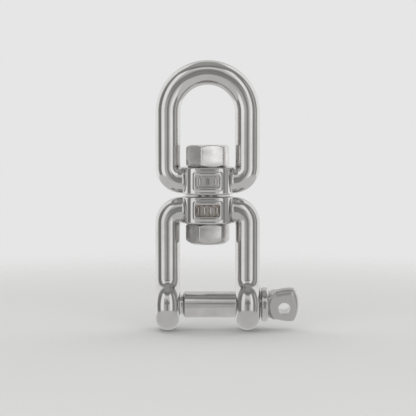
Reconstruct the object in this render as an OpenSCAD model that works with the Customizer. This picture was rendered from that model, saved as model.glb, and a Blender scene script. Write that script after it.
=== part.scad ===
// Jaw and eye anchor swivel: two stainless castings turning on one hex bolt, with a screw pin across the jaw.
// Millimetres, +Z up. The origin is the inside of the eye's crown, where the chain bears.
// The swivel axis is Z, and the screw pin lies along X with its head at +X.

/* [Rod] */
// Diameter of the round stock of the eye and the jaw
rod_d = 12; // [10:0.5:14.5]
// Inside radius where a leg turns into the crossbar
bend_inner_r = 0.75; // [0.5:0.25:3]

/* [Eye] */
// Clear width between the legs of the eye
eye_gap = 26.8; // [23.5:0.1:36]
// Clear length from the hub's top face to the crown
eye_reach = 40.1; // [32:0.1:60]

/* [Jaw] */
// Clear width between the legs of the jaw
jaw_gap = 27.2; // [23.5:0.1:36]
// Length from the hub's lower face to the pin's axis
jaw_reach = 40.3; // [32:0.1:60]
// Metal around the pin hole of each ear
ear_wall = 6.05; // [4.5:0.05:9]
// How far each side of an ear swells past the rod, before its faces are machined
ear_swell = 0.25; // [0.1:0.05:1]
// Depth machined off each face of an ear
ear_face_cut = 0.1; // [0.05:0.05:0.3]

/* [Hub] */
// Width of the boss that the bolt passes through, both ways
hub_d = 23.4; // [19:0.1:30]
// Radius of the boss's four bowed sides
hub_bow_r = 22; // [16:0.5:40]
// How far the boss's rounded corners lie beyond half its width
hub_corner = 1.2; // [0.6:0.1:2.5]
// How much taller than the rod the boss is
hub_rise = 1.25; // [0.5:0.05:4]
// Axial gap between the two bosses
hub_gap = 0.9; // [0.4:0.1:2]
// How far the rod stands back from the gap face of the boss
bar_inset = 0.5; // [0:0.05:0.8]
// Chamfer on the rims of the boss
hub_chamfer = 0.5; // [0.2:0.1:1.2]

/* [Size pad] */
// Width of the raised pad on the front and back of each boss
pad_w = 14.5; // [10:0.1:17]
// Height of the pad
pad_h = 9.7; // [7:0.1:11]
// Corner radius of the pad
pad_r = 2; // [1:0.1:3]
// How far the pad stands out of the boss
pad_proud = 0.45; // [0.2:0.05:0.8]
// Width of the frame around the pad's recess, left and right
pad_frame_x = 1.2; // [0.6:0.1:2]
// Width of the frame around the pad's recess, above and below
pad_frame_z = 1.9; // [0.8:0.1:2.4]
// Depth of the recess
pad_recess = 0.7; // [0.3:0.05:1]
// Number of plain ribs in the eye's recess
eye_ribs = 3; // [2:1:6]
// Number of plain ribs in the jaw's recess
jaw_ribs = 4; // [2:1:6]
// Width of a rib
rib_w = 1.1; // [0.6:0.1:1.6]

/* [Bolt and nut] */
// Thread and shank diameter of the swivel bolt
bolt_d = 12; // [10:0.5:14.5]
// Width across flats of the bolt's head and of the nut
hex_af = 19; // [15.5:0.1:22]
// Height of the bolt's head
head_h = 10.1; // [7:0.1:13]
// Height of the nut
nut_h = 10.7; // [8:0.1:13]
// Turn of the bolt's head about the swivel axis, in degrees
head_turn = -21; // [-60:1:60]
// Turn of the nut about the swivel axis, in degrees
nut_turn = -16; // [-60:1:60]
// Axial play between the head, the nut and the bosses
end_play = 0.1; // [0.05:0.05:0.5]

/* [Screw pin] */
// Diameter of the pin's shaft
pin_d = 13; // [10.5:0.5:16]
// Thread diameter of the pin's end
pin_thread_d = 12; // [8.5:0.5:14.5]
// Diameter of the collar
collar_d = 17; // [14:0.5:22]
// Thickness of the collar
collar_t = 3.3; // [2:0.1:5]
// Gap between the collar and the ear
collar_gap = 0.5; // [0.2:0.1:1.5]
// Diameter of the neck behind the collar
neck_d = 13.6; // [11:0.1:16.5]
// Length of the neck
neck_l = 1.6; // [1:0.1:4]
// Length of the flat grip, from the neck to its tip
grip_l = 13.6; // [11:0.1:18]
// Greatest width of the grip
grip_w = 17; // [14:0.1:22]
// Thickness of the grip
grip_t = 6.4; // [4:0.1:8]
// Diameter of the seizing-wire hole
wire_hole_d = 5.8; // [3:0.1:7]
// How far the hole lies below the middle of the grip
wire_hole_drop = 1; // [0:0.1:2]
// Turn of the pin about its own axis, in degrees
pin_turn = 14; // [-90:1:90]

/* [Clearances] */
// Radial clearance of the bolt in the bosses
swivel_clearance = 0.08; // [0.03:0.01:0.1]
// Radial clearance of the pin in the plain ear
pin_clearance = 0.1; // [0.03:0.01:0.1]
// Radial clearance between the plain cylinders that stand in for mating threads
thread_clearance = 0.04; // [0.02:0.01:0.1]

/* [Hidden] */
$fn = 96;
steel = "#c9c9c6";
machined = "#b4b4b1";
eps = 0.01;

rod_r = rod_d / 2;
bend_r = rod_r + bend_inner_r;      // centreline radius of a leg's bend
hub_r = hub_d / 2;
hub_h = rod_d + hub_rise;
eye_leg_x = eye_gap / 2 + rod_r;
jaw_leg_x = jaw_gap / 2 + rod_r;

// heights, from the crown downwards
eye_hub_top = -eye_reach;
eye_hub_low = eye_hub_top - hub_h;
jaw_hub_top = eye_hub_low - hub_gap;
jaw_hub_low = jaw_hub_top - hub_h;
pin_z = jaw_hub_low - jaw_reach;
eye_bar_z = eye_hub_low + bar_inset + rod_r;
jaw_bar_z = jaw_hub_top - bar_inset - rod_r;

// ears: a disc about X with a fully round rim, its faces machined flat
ear_t = rod_d + 2 * ear_swell;
ear_r = pin_d / 2 + ear_wall;
ear_face = ear_t / 2 - ear_face_cut;  // from the middle of the ear to each machined face
ear_in_x = jaw_leg_x - ear_face;
ear_out_x = jaw_leg_x + ear_face;

bolt_r = bolt_d / 2;
pitch = 1.75;                        // coarse metric pitch at this thread size
bolt_thread_r = bolt_r - 0.1;        // crest radius of the bolt's thread
pin_r = pin_d / 2;
pin_thread_r = pin_thread_d / 2 - 0.1;
pin_undercut = 1.3;                  // length of the groove between shaft and thread
chamfer = 0.6;                       // small turned chamfer
hex_chamfer_angle = 30;

// Rounded rectangle in the XY plane, about the origin
module rounded_rect(w, h, r) {
    square([w - 2 * r, h], center = true);
    square([w, h - 2 * r], center = true);
    for (x = [-1, 1], y = [-1, 1])
        translate([x * (w / 2 - r), y * (h / 2 - r)]) circle(r);
}

// A rounded rectangle pushed along Y through the boss, centred at height z
module through_y(z, w, h, r) {
    translate([0, 0, z]) rotate([90, 0, 0])
        linear_extrude(hub_d * 2, center = true) rounded_rect(w, h, r);
}

// Straight round bar along X
module bar_x(length, r) {
    rotate([0, 90, 0]) cylinder(length, r, r, center = true);
}

// Quarter bend in the XZ plane about (x, z), from the direction `from` through 90 degrees
module bend(x, z, from) {
    translate([x, 0, z]) rotate([90, 0, 0])
        rotate_extrude(angle = 90, start = from) translate([bend_r, 0]) circle(rod_r);
}

// Disc of radius r and height h from z = 0, with its two rims chamfered by c
module rim_disc(r, h, c) {
    rotate_extrude() polygon([[0, 0], [r - c, 0], [r, c], [r, h - c], [r - c, h], [0, h]]);
}

// Squarish block of height h, its four bowed sides moved out by grow, with corner rims chamfered by c
module hub_block(h, grow, c) {
    away = hub_bow_r - hub_r;
    bow_r = hub_bow_r + grow;
    intersection() {
        rim_disc(hub_r + hub_corner + grow, h, c);
        translate([away, 0, -1]) cylinder(h + 2, bow_r, bow_r);
        translate([-away, 0, -1]) cylinder(h + 2, bow_r, bow_r);
        translate([0, away, -1]) cylinder(h + 2, bow_r, bow_r);
        translate([0, -away, -1]) cylinder(h + 2, bow_r, bow_r);
    }
}

// Boss from z = low upwards, with chamfered rims, and its two size pads with plain ribs
module boss(low, rib_count) {
    pad_mid = low + hub_h / 2;
    recess_w = pad_w - 2 * pad_frame_x;
    recess_h = pad_h - 2 * pad_frame_z;
    inset = hub_chamfer + 0.1;
    difference() {
        union() {
            translate([0, 0, low]) hub_block(hub_h, 0, hub_chamfer);
            intersection() {
                translate([0, 0, low + inset]) hub_block(hub_h - 2 * inset, pad_proud, 0.1);
                through_y(pad_mid, pad_w, pad_h, pad_r);
            }
        }
        difference() {
            through_y(pad_mid, recess_w, recess_h, pad_r / 2);
            translate([0, 0, low - 1]) hub_block(hub_h + 2, pad_proud - pad_recess, 0.1);
        }
    }
    rib_step = recess_w / rib_count;
    for (i = [0 : rib_count - 1], side = [-1, 1])
        intersection() {
            translate([0, 0, low + 0.1]) hub_block(hub_h - 0.2, pad_proud * 0.6, 0.1);
            translate([(i - (rib_count - 1) / 2) * rib_step, side * hub_r, pad_mid])
                cube([rib_w, 4, recess_h - 1.2], center = true);
        }
}

module eye_body() {
    corner_x = eye_leg_x - bend_r;
    corner_z = eye_bar_z + bend_r;
    arc_z = -eye_gap / 2;
    color(steel) difference() {
        union() {
            translate([0, 0, arc_z]) rotate([90, 0, 0])
                rotate_extrude(angle = 180) translate([eye_leg_x, 0]) circle(rod_r);
            for (side = [-1, 1])
                translate([side * eye_leg_x, 0, corner_z]) cylinder(arc_z - corner_z, rod_r, rod_r);
            bend(corner_x, corner_z, 270);
            bend(-corner_x, corner_z, 180);
            translate([0, 0, eye_bar_z]) bar_x(2 * corner_x, rod_r);
            boss(eye_hub_low, eye_ribs);
        }
        translate([0, 0, eye_hub_low - 1])
            cylinder(hub_h + 2, bolt_r + swivel_clearance, bolt_r + swivel_clearance);
    }
}

// Ear blank about the pin axis, centred at x: full round rim, flat faces
module ear(x) {
    rim_r = ear_t / 2;
    rim_at = ear_r - rim_r;
    translate([x, 0, pin_z]) rotate([0, 90, 0])
        intersection() {
            union() {
                cylinder(ear_t, rim_at, rim_at, center = true);
                rotate_extrude() translate([rim_at, 0]) intersection() {
                    circle(rim_r);
                    translate([-eps, -rim_r]) square([rim_r + eps, ear_t]);
                }
            }
            cylinder(2 * ear_face, ear_r + 1, ear_r + 1, center = true);
        }
}

module jaw_body() {
    corner_x = jaw_leg_x - bend_r;
    corner_z = jaw_bar_z - bend_r;
    plain_r = pin_r + pin_clearance;
    tapped_r = pin_thread_r + thread_clearance;
    color(steel) difference() {
        union() {
            boss(jaw_hub_low, jaw_ribs);
            translate([0, 0, jaw_bar_z]) bar_x(2 * corner_x, rod_r);
            bend(corner_x, corner_z, 0);
            bend(-corner_x, corner_z, 90);
            for (side = [-1, 1]) {
                translate([side * jaw_leg_x, 0, pin_z]) cylinder(corner_z - pin_z, rod_r, rod_r);
                ear(side * jaw_leg_x);
            }
        }
        translate([0, 0, jaw_hub_low - 1])
            cylinder(hub_h + 2, bolt_r + swivel_clearance, bolt_r + swivel_clearance);
        translate([ear_in_x - 1, 0, pin_z]) rotate([0, 90, 0]) cylinder(ear_t + 2, plain_r, plain_r);
        translate([-ear_out_x - 1, 0, pin_z]) rotate([0, 90, 0]) cylinder(ear_t + 2, tapped_r, tapped_r);
    }
}

// Cone-chamfered hexagonal prism from z = 0 to h
module hex_block(h) {
    corner_r = hex_af / 2 / cos(30);
    face_r = hex_af / 2 - 0.3;
    drop = (corner_r + 0.5 - face_r) * tan(hex_chamfer_angle);
    intersection() {
        cylinder(h, corner_r, corner_r, $fn = 6);
        rotate_extrude() polygon([
            [0, 0], [face_r, 0], [corner_r + 0.5, drop],
            [corner_r + 0.5, h - drop], [face_r, h], [0, h]]);
    }
}

module swivel_bolt() {
    head_top = jaw_hub_low - end_play;
    nut_low = eye_hub_top + end_play;
    tip = nut_low + nut_h - 0.5;
    color(machined) union() {
        translate([0, 0, head_top - head_h]) rotate([0, 0, head_turn - 90]) hex_block(head_h);
        translate([0, 0, head_top]) rotate_extrude() polygon([
            [0, -1], [bolt_r, -1],
            [bolt_r, nut_low - head_top - pitch], [bolt_thread_r, nut_low - head_top - pitch + 0.1],
            [bolt_thread_r, tip - head_top - chamfer], [bolt_thread_r - chamfer, tip - head_top],
            [0, tip - head_top]]);
    }
}

module swivel_nut() {
    nut_low = eye_hub_top + end_play;
    bore_r = bolt_thread_r + thread_clearance;
    sink_r = bolt_r + 0.4;
    sink = sink_r - bore_r;
    color(machined) translate([0, 0, nut_low]) rotate([0, 0, nut_turn - 90]) difference() {
        hex_block(nut_h);
        translate([0, 0, -1]) cylinder(nut_h + 2, bore_r, bore_r);
        translate([0, 0, -eps]) cylinder(sink + eps, sink_r + eps, bore_r);
        translate([0, 0, nut_h - sink]) cylinder(sink + eps, bore_r, sink_r + eps);
    }
}

// Flat grip along +X from x = 0: two side arcs and an end arc, laid in the XZ plane
module grip() {
    widest_x = grip_l * 0.72;
    neck_half = neck_d / 2;
    rise = max(grip_w / 2 - neck_half, 0.3);
    side_r = (widest_x * widest_x + rise * rise) / (2 * rise);
    end_r = grip_w;
    rotate([90, 0, 0]) linear_extrude(grip_t, center = true) intersection() {
        translate([widest_x, grip_w / 2 - side_r]) circle(side_r);
        translate([widest_x, side_r - grip_w / 2]) circle(side_r);
        translate([grip_l - end_r, 0]) circle(end_r);
        translate([-neck_l, -grip_w]) square([grip_l + neck_l + 1, 2 * grip_w]);
    }
}

module screw_pin() {
    tip_x = -ear_out_x + 0.4;                    // the thread ends just inside the tapped ear
    thread_end = -ear_in_x + 0.2;
    shaft_x = thread_end + pin_undercut;
    collar_x = ear_out_x + collar_gap;
    neck_x = collar_x + collar_t;
    undercut_r = pin_thread_r - 0.7 * pitch;
    grip_x = neck_x + neck_l;
    translate([0, 0, pin_z]) rotate([pin_turn, 0, 0]) color(steel) union() {
        rotate([0, 90, 0]) rotate_extrude() polygon([
            [0, tip_x], [pin_thread_r - chamfer, tip_x], [pin_thread_r, tip_x + chamfer],
            [pin_thread_r, thread_end], [undercut_r, thread_end + 0.3], [undercut_r, shaft_x - 0.2],
            [pin_r - chamfer, shaft_x], [pin_r, shaft_x + chamfer], [pin_r, collar_x],
            [collar_d / 2 - chamfer, collar_x], [collar_d / 2, collar_x + chamfer],
            [collar_d / 2, neck_x - chamfer], [collar_d / 2 - chamfer, neck_x],
            [neck_d / 2, neck_x], [neck_d / 2, grip_x], [0, grip_x]]);
        translate([grip_x, 0, 0]) difference() {
            grip();
            translate([grip_l / 2 - 0.35, 0, -wire_hole_drop]) rotate([90, 0, 0])
                cylinder(grip_t + 2, d = wire_hole_d, center = true);
        }
    }
}

eye_body();
jaw_body();
swivel_bolt();
swivel_nut();
screw_pin();
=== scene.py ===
"""Jaw-and-eye anchor swivel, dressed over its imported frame.

Every surface is a numpy grid in millimetres in the frame's own axes: +Z runs along the swivel axis
from the jaw to the eye, +X along the screw pin towards its grip, and the origin is the inside of the
eye's crown. Cast bodies are found by casting rays outwards from a centreline to where a blended
distance field is zero. Turned and hexagonal ones are a profile carried round an axis.
"""
from __future__ import annotations

import logging
import math
from dataclasses import dataclass
from enum import Enum
from typing import Callable

import bpy
import numpy as np
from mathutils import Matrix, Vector

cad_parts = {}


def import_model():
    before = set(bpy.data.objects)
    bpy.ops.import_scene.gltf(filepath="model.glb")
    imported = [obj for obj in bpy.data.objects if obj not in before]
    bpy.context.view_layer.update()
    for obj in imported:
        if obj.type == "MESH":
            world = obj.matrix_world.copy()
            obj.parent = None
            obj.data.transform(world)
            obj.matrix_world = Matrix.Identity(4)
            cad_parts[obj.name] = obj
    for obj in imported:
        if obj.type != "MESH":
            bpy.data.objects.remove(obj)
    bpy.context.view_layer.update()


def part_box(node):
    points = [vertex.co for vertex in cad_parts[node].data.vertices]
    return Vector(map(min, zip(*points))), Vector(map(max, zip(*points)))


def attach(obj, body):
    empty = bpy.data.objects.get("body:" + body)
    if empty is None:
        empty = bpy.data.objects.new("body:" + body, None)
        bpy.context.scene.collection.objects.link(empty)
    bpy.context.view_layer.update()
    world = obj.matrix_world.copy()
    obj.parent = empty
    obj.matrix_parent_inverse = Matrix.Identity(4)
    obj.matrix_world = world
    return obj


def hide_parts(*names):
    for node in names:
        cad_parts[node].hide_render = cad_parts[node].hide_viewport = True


LOG = logging.getLogger("swivel")
MM = 0.001
HALVINGS = 34  # enough to place a surface point to the last digit that a mesh keeps
FULL_TURN = 2.0 * math.pi
MIRROR_X = np.array([-1.0, 1.0])
OUTSIDE = 1e3  # mm, a distance beyond every surface
Field = Callable[[np.ndarray, np.ndarray, np.ndarray], np.ndarray]
Piece = bpy.types.Object
Material = bpy.types.Material
Tree = bpy.types.NodeTree
Node = bpy.types.Node
Socket = bpy.types.NodeSocket


class Axis(Enum):
    """The row axis that a turned shape runs along."""

    X = 0
    Z = 2


class Side(Enum):
    """Which of the two legs or ears, by the sign of its X."""

    LEFT = -1
    RIGHT = 1


# ---------------------------------------------------------------------------------------- numpy tools
def smooth_join(a: np.ndarray, b: np.ndarray, fillet: float | np.ndarray) -> np.ndarray:
    """Union of two distance fields with a fillet.

    The smaller of the two, less a quarter of fillet times the square of how far they are from being
    fillet apart: (fillet - |a - b|) / fillet, where that is above zero.

    Args:
        a: first distance field's values, in mm.
        b: second one's values, in mm.
        fillet: width of the blend, in mm.

    Returns:
        The blended field's values, in mm.
    """
    near = np.clip(fillet - np.abs(a - b), 0.0, None) / fillet
    return np.minimum(a, b) - near * near * fillet / 4.0


def smooth_cut(a: np.ndarray, b: np.ndarray, fillet: float) -> np.ndarray:
    """Intersection of two distance fields with a rounded edge: smooth_join of their negatives."""
    return -smooth_join(-a, -b, fillet)


def smooth_step(value: np.ndarray, low: float, high: float) -> np.ndarray:
    """0 below low, 1 above high, and 3t^2 - 2t^3 between them, where t is how far along value is."""
    t = np.clip((value - low) / (high - low), 0.0, 1.0)
    return t * t * (3.0 - 2.0 * t)


def cast(field: Field, start: np.ndarray, way: np.ndarray, reach: np.ndarray) -> np.ndarray:
    """Finds where rays leave a solid, by halving the stretch that holds the field's zero.

    Args:
        field: distance field, negative inside the solid.
        start: (rows, columns, 3) ray starts inside the solid, in mm.
        way: (rows, columns, 3) unit directions.
        reach: (rows,) a length at which a row's rays are outside the solid and not yet back in it.

    Returns:
        (rows, columns, 3) points on the surface.
    """
    low = np.zeros(start.shape[:2])
    high = np.repeat(reach[:, None], start.shape[1], axis=1)
    for _ in range(HALVINGS):
        mid = (low + high) / 2.0
        p = start + way * mid[..., None]
        inside = field(p[..., 0], p[..., 1], p[..., 2]) < 0.0
        low = np.where(inside, mid, low)
        high = np.where(inside, high, mid)
    return start + way * ((low + high) / 2.0)[..., None]


def turned(rows: np.ndarray, around: np.ndarray, axis: Axis, centre: tuple[float, float]) -> np.ndarray:
    """Carries a profile round an axis.

    Args:
        rows: (rows, 2) of place along the axis and radius, or (rows, columns, 2) where they change
            with the angle, in mm.
        around: (columns,) angles about the axis, by the right-hand rule, in radians.
        axis: the axis that the profile runs along.
        centre: the axis's place: (y, z) for X, or (x, y) for Z, in mm.

    Returns:
        (rows, columns, 3) points: along the axis, and radius times cosine and sine across it.
    """
    if rows.ndim == 2:
        rows = np.repeat(rows[:, None, :], len(around), axis=1)
    along, radius = rows[..., 0], rows[..., 1]
    first, second = radius * np.cos(around), radius * np.sin(around)
    if axis is Axis.X:
        return np.stack([along, centre[0] + first, centre[1] + second], axis=-1)
    return np.stack([centre[0] + first, centre[1] + second, along], axis=-1)


def tilt_about_x(points: np.ndarray, angle: float, centre_z: float) -> np.ndarray:
    """Turns points about the X axis through height centre_z, by the right-hand rule.

    Args:
        points: (..., 3) points, in mm.
        angle: the turn, in radians.
        centre_z: height of the axis, in mm.

    Returns:
        The turned points.
    """
    y, z = points[..., 1], points[..., 2] - centre_z
    cos, sin = math.cos(angle), math.sin(angle)
    return np.stack([points[..., 0], y * cos - z * sin, centre_z + y * sin + z * cos], axis=-1)


def steps(stops: list[tuple[float, int]]) -> np.ndarray:
    """Evenly filled stretches: each stop is a value and how many steps lead to it from the last.

    Args:
        stops: pairs of a value and a count of steps. The first one's count is not used.

    Returns:
        All the values in order.
    """
    parts = [np.array([stops[0][0]])]
    for (begin, _), (end, count) in zip(stops[:-1], stops[1:]):
        parts.append(np.linspace(begin, end, count + 1)[1:])
    return np.concatenate(parts)


# ---------------------------------------------------------------------------------------- mesh tools
def grid_faces(rows: int, columns: int, closed_rows: bool) -> np.ndarray:
    """Corner indices of the quads of a grid whose columns run round and close on themselves.

    Args:
        rows: number of rows of points.
        columns: number of points in a row.
        closed_rows: whether the last row joins the first one.

    Returns:
        (quads, 4) indices.
    """
    r = np.arange(rows if closed_rows else rows - 1)[:, None]
    c = np.arange(columns)[None, :]
    after, beside = (r + 1) % rows, (c + 1) % columns
    corners = [r * columns + c, r * columns + beside, after * columns + beside, after * columns + c]
    return np.stack([np.broadcast_to(k, (r.shape[0], columns)) for k in corners], axis=-1).reshape(-1, 4)


def signed_volume(points: np.ndarray, triangles: np.ndarray) -> float:
    """Volume inside the triangles, negative where they face inwards: a sixth of the triple products."""
    a, b, c = (points[triangles[:, k]] for k in range(3))
    return float(np.einsum("ij,ij->i", a, np.cross(b, c)).sum() / 6.0)


def solid_from_grid(
    name: str,
    grid: np.ndarray,
    closed_rows: bool = False,
    marks: dict[str, np.ndarray] | None = None,
) -> Piece:
    """Makes a closed mesh object of a grid of points that runs round and closes on itself.

    An open grid is closed by a fan at each end, to the middle of that end's row. Faces are turned
    outwards by the sign of the volume that they hold.

    Args:
        name: the object's name.
        grid: (rows, columns, 3) points in mm.
        closed_rows: whether the last row joins the first, as on a ring, so that no fan is needed.
        marks: named (rows, columns) values from 0 to 1 to store on the points for the material.

    Returns:
        The object, at the origin, in metres.
    """
    rows, columns = grid.shape[:2]
    points = grid.reshape(-1, 3)
    quads = grid_faces(rows, columns, closed_rows)
    fans = np.zeros((0, 3), dtype=int)
    if not closed_rows:
        ends = np.stack([grid[0].mean(axis=0), grid[-1].mean(axis=0)])
        first, last = len(points), len(points) + 1
        points = np.concatenate([points, ends])
        c = np.arange(columns)
        beside = (c + 1) % columns
        base = (rows - 1) * columns
        fans = np.concatenate([
            np.stack([np.full(columns, first), beside, c], axis=-1),
            np.stack([np.full(columns, last), base + c, base + beside], axis=-1),
        ])
    halves = np.concatenate([quads[:, [0, 1, 2]], quads[:, [0, 2, 3]], fans])
    if signed_volume(points, halves) < 0.0:
        quads, fans = quads[:, ::-1], fans[:, ::-1]
    corners = np.concatenate([quads.ravel(), fans.ravel()]).astype(np.int32)
    starts = np.concatenate([np.arange(len(quads)) * 4, len(quads) * 4 + np.arange(len(fans)) * 3])
    mesh = bpy.data.meshes.new(name)
    mesh.vertices.add(len(points))
    mesh.vertices.foreach_set("co", (points * MM).astype(np.float32).ravel())
    mesh.loops.add(len(corners))
    mesh.loops.foreach_set("vertex_index", corners)
    mesh.polygons.add(len(starts))
    mesh.polygons.foreach_set("loop_start", starts.astype(np.int32))
    mesh.update(calc_edges=True)
    for mark, values in (marks or {}).items():
        layer = mesh.attributes.new(mark, "FLOAT", "POINT")
        full = np.zeros(len(points), dtype=np.float32)
        full[: rows * columns] = values.ravel()
        layer.data.foreach_set("value", full)
    mesh.validate()
    piece = bpy.data.objects.new(name, mesh)
    bpy.context.scene.collection.objects.link(piece)
    return piece


def carve(piece: Piece, cutters: list[Piece]) -> None:
    """Takes the cutters out of the piece's mesh with Booleans, and removes the cutters.

    Args:
        piece: the object to cut, whose mesh is replaced.
        cutters: closed mesh objects, used up.
    """
    for cutter in cutters:
        cut = piece.modifiers.new("cut", "BOOLEAN")
        cut.operation, cut.solver, cut.object = "DIFFERENCE", "MANIFOLD", cutter
    ready = piece.evaluated_get(bpy.context.evaluated_depsgraph_get())
    mesh = bpy.data.meshes.new_from_object(ready)
    mesh.name = piece.data.name + "_cut"
    mesh.materials.clear()
    mesh.polygons.foreach_set("material_index", np.zeros(len(mesh.polygons), dtype=np.int32))
    piece.modifiers.clear()
    piece.data = mesh
    for cutter in cutters:
        bpy.data.objects.remove(cutter, do_unlink=True)


def shade(piece: Piece, crease: float) -> None:
    """Smooth shading everywhere but over edges that turn by more than crease degrees."""
    piece.data.shade_smooth()
    piece.data.set_sharp_from_angle(angle=math.radians(crease))


# ---------------------------------------------------------------------------------------- node tools
def linear(code: str) -> tuple[float, float, float, float]:
    """Turns an sRGB hex colour into linear light.

    Args:
        code: the colour as "#RRGGBB".

    Returns:
        Linear red, green, blue and an alpha of 1.
    """
    parts = [int(code[k:k + 2], 16) / 255.0 for k in (1, 3, 5)]
    r, g, b = (c / 12.92 if c <= 0.04045 else ((c + 0.055) / 1.055) ** 2.4 for c in parts)
    return r, g, b, 1.0


def add_node(tree: Tree, kind: str, links: dict | None = None, **settings: object) -> Node:
    """Adds a shader node with its settings and links.

    Args:
        tree: the node tree to add to.
        kind: the node's type without its ShaderNode prefix.
        links: input name or number to the output socket or plain value that it takes.
        settings: the node's own properties.

    Returns:
        The new node.
    """
    node = tree.nodes.new("ShaderNode" + kind)
    for key, value in settings.items():
        setattr(node, key, value)
    for key, value in (links or {}).items():
        if isinstance(value, Socket):
            tree.links.new(value, node.inputs[key])
        else:
            node.inputs[key].default_value = value
    return node


def blank_material(name: str) -> tuple[Material, Tree, Node]:
    """A material with only its principled shader and output, which are returned with it.

    Args:
        name: the material's name.

    Returns:
        The material, its tree and its shader.
    """
    material = bpy.data.materials.new(name)
    material.use_nodes = True
    tree = material.node_tree
    return material, tree, tree.nodes["Principled BSDF"]


def patches(tree: Tree, place: Socket, size_mm: float, detail: float,
            *ranges: tuple[float, float]) -> list[Socket]:
    """Irregular patches, with the middle of the noise's range, 0.3 to 0.7, spread over each range.

    Args:
        tree: the material's node tree.
        place: Object coordinates, in metres.
        size_mm: about how far across a patch is.
        detail: how many finer octaves it has.
        ranges: the low and the high value of each result.

    Returns:
        One socket for each range.
    """
    fac = add_node(tree, "TexNoise", {"Vector": place, "Scale": 1.0 / (size_mm * MM),
                                      "Detail": detail}).outputs["Fac"]
    return [add_node(tree, "MapRange", {"Value": fac, "From Min": 0.3, "From Max": 0.7,
                                        "To Min": low, "To Max": high}).outputs["Result"]
            for low, high in ranges]


@dataclass(frozen=True)
class Relief:
    """One layer of a surface's unevenness: how far across its bumps are and how deep.

    It is read at place, with detail finer octaves, and fades where its mark, if any, falls to 0.
    """

    place: Socket
    size_mm: float
    depth_mm: float
    detail: float = 1.0
    mark: Socket | None = None


def roughen(tree: Tree, shader: Node, layers: list[Relief]) -> None:
    """Lays reliefs one on another and links the last to the shader's normal.

    Args:
        tree: the material's node tree.
        shader: the principled shader.
        layers: the reliefs, the lowest first.
    """
    under: dict[str, Socket] = {}
    for layer in layers:
        height = add_node(tree, "TexNoise", {"Vector": layer.place, "Scale": 1.0 / (layer.size_mm * MM),
                                             "Detail": layer.detail}).outputs["Fac"]
        if layer.mark is not None:
            height = add_node(tree, "Math", {0: height, 1: layer.mark}, operation="MULTIPLY").outputs[0]
        bump = add_node(tree, "Bump", {"Height": height, "Strength": 1.0, "Distance": layer.depth_mm * MM,
                                       **under})
        under = {"Normal": bump.outputs["Normal"]}
    tree.links.new(under["Normal"], shader.inputs["Normal"])


# ---------------------------------------------------------------------------------------- finishes
@dataclass(frozen=True)
class PolishedCasting:
    """Investment-cast stainless steel, tumbled and polished, with its recesses left as cast.

    The polish follows the casting's faint waviness, so reflections have slightly unsteady edges. The
    buffing wheel can't reach into the size pads: there the metal is matt, with a brown film of tea
    stain and polishing compound along the frame's foot.
    """

    colour: str = "#D6D5D4"
    worn_colour: str = "#C9C8C6"
    stain_colour: str = "#84725F"
    gloss: tuple[float, float] = (0.08, 0.14)
    cast_roughness: float = 0.38
    smear_mm: float = 9.0
    blotch_mm: float = 1.1
    wave_mm: float = 5.0
    wave_depth_mm: float = 0.016
    bead_mm: float = 1.3
    bead_depth_mm: float = 0.007
    grit_mm: float = 0.35
    grit_depth_mm: float = 0.0010

    def build(self, name: str) -> Material:
        """Builds the material.

        Args:
            name: the material's name.

        Returns:
            The material, which reads the attributes cast and stain.
        """
        material, tree, shader = blank_material(name)
        place = add_node(tree, "TexCoord").outputs["Object"]
        cast_mark = add_node(tree, "Attribute", attribute_name="cast").outputs["Fac"]
        stain_mark = add_node(tree, "Attribute", attribute_name="stain").outputs["Fac"]
        wear, polish = patches(tree, place, self.smear_mm, 4.0, (0.0, 0.8), self.gloss)
        thickness, = patches(tree, place, self.blotch_mm, 3.0, (0.35, 1.0))
        tint = add_node(tree, "Mix", {"Factor": wear, 6: linear(self.colour),
                                      7: linear(self.worn_colour)}, data_type="RGBA").outputs[2]
        film = add_node(tree, "Math", {0: stain_mark, 1: thickness},
                        operation="MULTIPLY", use_clamp=True).outputs[0]
        colour = add_node(tree, "Mix", {"Factor": film, 6: tint, 7: linear(self.stain_colour)},
                          data_type="RGBA").outputs[2]
        tree.links.new(colour, shader.inputs["Base Color"])
        rough = add_node(tree, "Mix", {"Factor": cast_mark, 2: polish, 3: self.cast_roughness}).outputs[0]
        tree.links.new(rough, shader.inputs["Roughness"])
        roughen(tree, shader, [Relief(place, self.wave_mm, self.wave_depth_mm),
                               Relief(place, self.bead_mm, self.bead_depth_mm),
                               Relief(place, self.grit_mm, self.grit_depth_mm, 2.0)])
        shader.inputs["Metallic"].default_value = 1.0
        return material


@dataclass(frozen=True)
class FormedHexagon:
    """Cold-formed stainless fastener: satin from the die and the barrel it was tumbled in.

    Broad, soft highlights with a faint grain, and no sharp mirror image anywhere.
    """

    colour: str = "#D6D5D4"
    worn_colour: str = "#C8C7C5"
    satin: tuple[float, float] = (0.24, 0.32)
    patch_mm: float = 4.0
    grain_mm: float = 0.5
    grain_depth_mm: float = 0.003
    dent_mm: float = 3.0
    dent_depth_mm: float = 0.014

    def build(self, name: str) -> Material:
        """Builds the material called name, and returns it.

        Args:
            name: the material's name.

        Returns:
            The material.
        """
        material, tree, shader = blank_material(name)
        place = add_node(tree, "TexCoord").outputs["Object"]
        wear, satin = patches(tree, place, self.patch_mm, 4.0, (0.0, 1.0), self.satin)
        colour = add_node(tree, "Mix", {"Factor": wear, 6: linear(self.colour),
                                        7: linear(self.worn_colour)}, data_type="RGBA").outputs[2]
        tree.links.new(colour, shader.inputs["Base Color"])
        tree.links.new(satin, shader.inputs["Roughness"])
        roughen(tree, shader, [Relief(place, self.dent_mm, self.dent_depth_mm),
                               Relief(place, self.grain_mm, self.grain_depth_mm, 2.0)])
        shader.inputs["Metallic"].default_value = 1.0
        return material


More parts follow.
